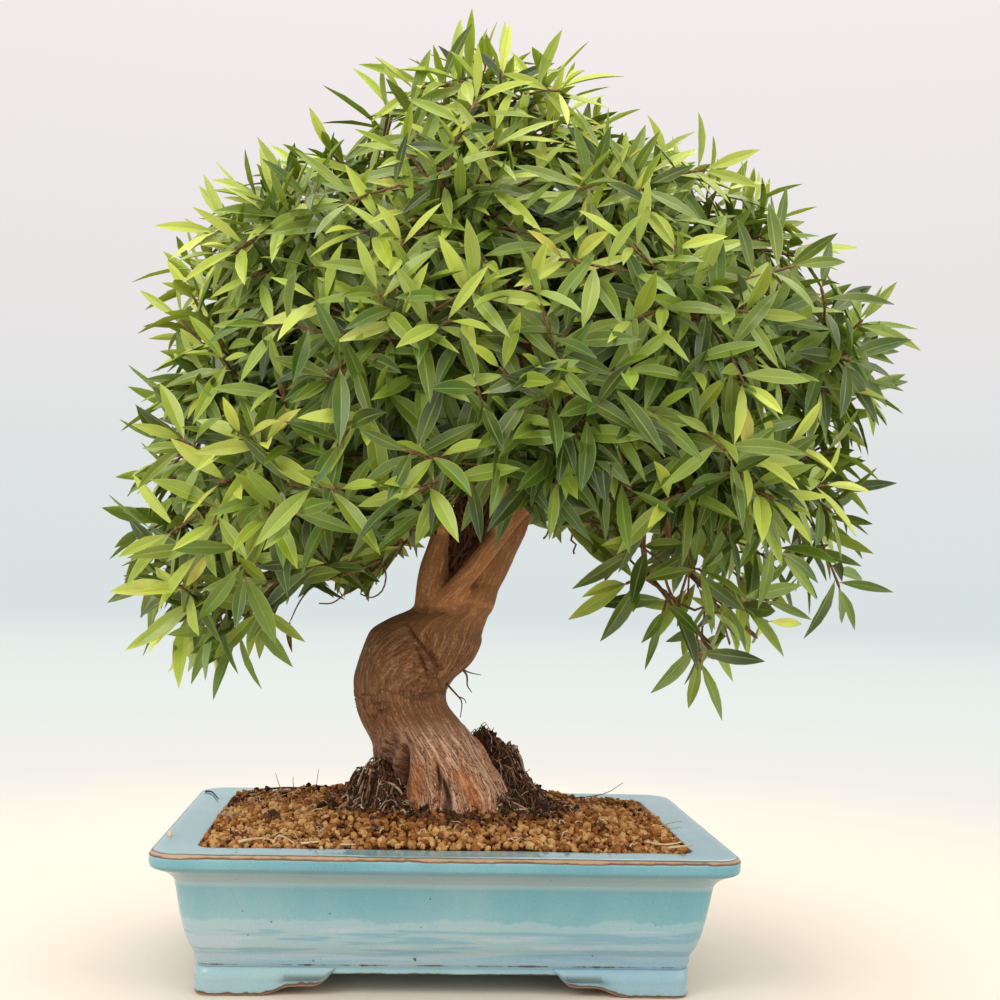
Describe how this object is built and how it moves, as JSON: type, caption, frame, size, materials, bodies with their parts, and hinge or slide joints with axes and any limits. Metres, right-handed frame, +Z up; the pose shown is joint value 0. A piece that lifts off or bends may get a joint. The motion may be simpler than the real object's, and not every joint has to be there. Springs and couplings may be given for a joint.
{
  "type": "potted bonsai fig tree",
  "caption": "Willow leaf fig grown as a bonsai: knee-bent trunk, fluted roots, dome crown of lance leaves, in a glazed rectangular pot on feet.",
  "frame": {"origin": "middle of the footprint of the whole tree and pot, on the plane that the pot's feet rest on", "axes": "+Z up, +X to the right along the pot's long side, -Y towards the viewer, the tree's front"},
  "size_m": [0.7212, 0.5336, 0.8311],
  "materials": {
    "glaze": "gloss",
    "bark": "rough, fibrous",
    "grain": "matt, granular",
    "peat": "matt, fibrous",
    "mesh_plastic": "matt",
    "leaf": "soft sheen"
  },
  "bodies": {
    "root": {"drain_mesh_left": "mesh_plastic", "drain_mesh_right": "mesh_plastic", "leaf_spray_01": "leaf", "leaf_spray_02": "leaf", "leaf_spray_03": "leaf", "leaf_spray_04": "leaf", "leaf_spray_05": "leaf", "leaf_spray_06": "leaf", "leaf_spray_07": "leaf", "leaf_spray_08": "leaf", "leaf_spray_09": "leaf", "leaf_spray_10": "leaf", "leaf_spray_11": "leaf", "leaf_spray_12": "leaf", "leaf_spray_13": "leaf", "leaf_spray_14": "leaf", "leaf_spray_15": "leaf", "leaf_spray_16": "leaf", "leaf_spray_17": "leaf", "leaf_spray_18": "leaf", "leaf_spray_19": "leaf", "leaf_spray_20": "leaf", "leaf_spray_21": "leaf", "leaf_spray_22": "leaf", "leaf_spray_23": "leaf", "leaf_spray_24": "leaf", "leaf_spray_25": "leaf", "leaf_spray_26": "leaf", "leaf_spray_27": "leaf", "leaf_spray_28": "leaf", "leaf_spray_29": "leaf", "leaf_spray_30": "leaf", "leaf_spray_31": "leaf", "leaf_spray_32": "leaf", "leaf_spray_33": "leaf", "leaf_spray_34": "leaf", "leaf_spray_35": "leaf", "leaf_spray_36": "leaf", "leaf_spray_37": "leaf", "pot": "glaze", "root_mat": "peat", "soil": "grain", "trunk": "bark"}
  },
  "joints": []
}
